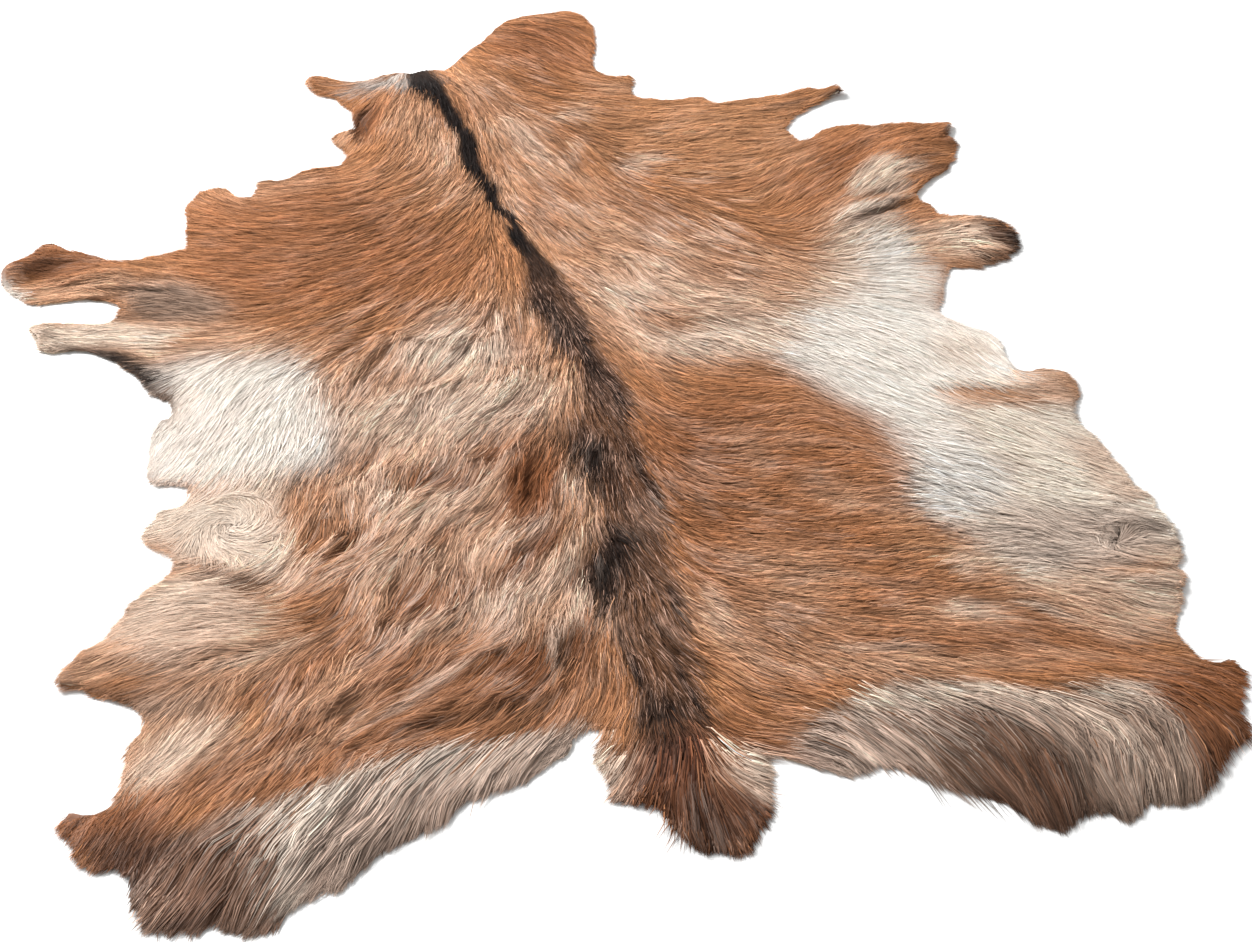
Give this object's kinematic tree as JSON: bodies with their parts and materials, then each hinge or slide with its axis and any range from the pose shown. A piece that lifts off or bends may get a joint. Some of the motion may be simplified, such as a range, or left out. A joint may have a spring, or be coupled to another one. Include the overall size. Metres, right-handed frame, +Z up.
{
  "type": "goatskin rug",
  "caption": "Whole goatskin with its hair on, laid out flat hair side up, with leg ends, neck flap and tail tuft, long hair at the breech and a ragged cut edge.",
  "frame": {"origin": "on the floor under the middle of the back, on the flat underside", "axes": "+Z up out of the hair side, +Y along the back towards the neck, +X towards the animal's right"},
  "size_m": [0.9651, 1.279, 0.0184],
  "materials": {
    "goat_hair": "soft tan goat hair with cream flanks, a dark back stripe and a faint sheen",
    "goat_leather": "pale suede flesh side and bare cut edge"
  },
  "bodies": {
    "root": {"hide": "goat_hair"}
  },
  "joints": []
}
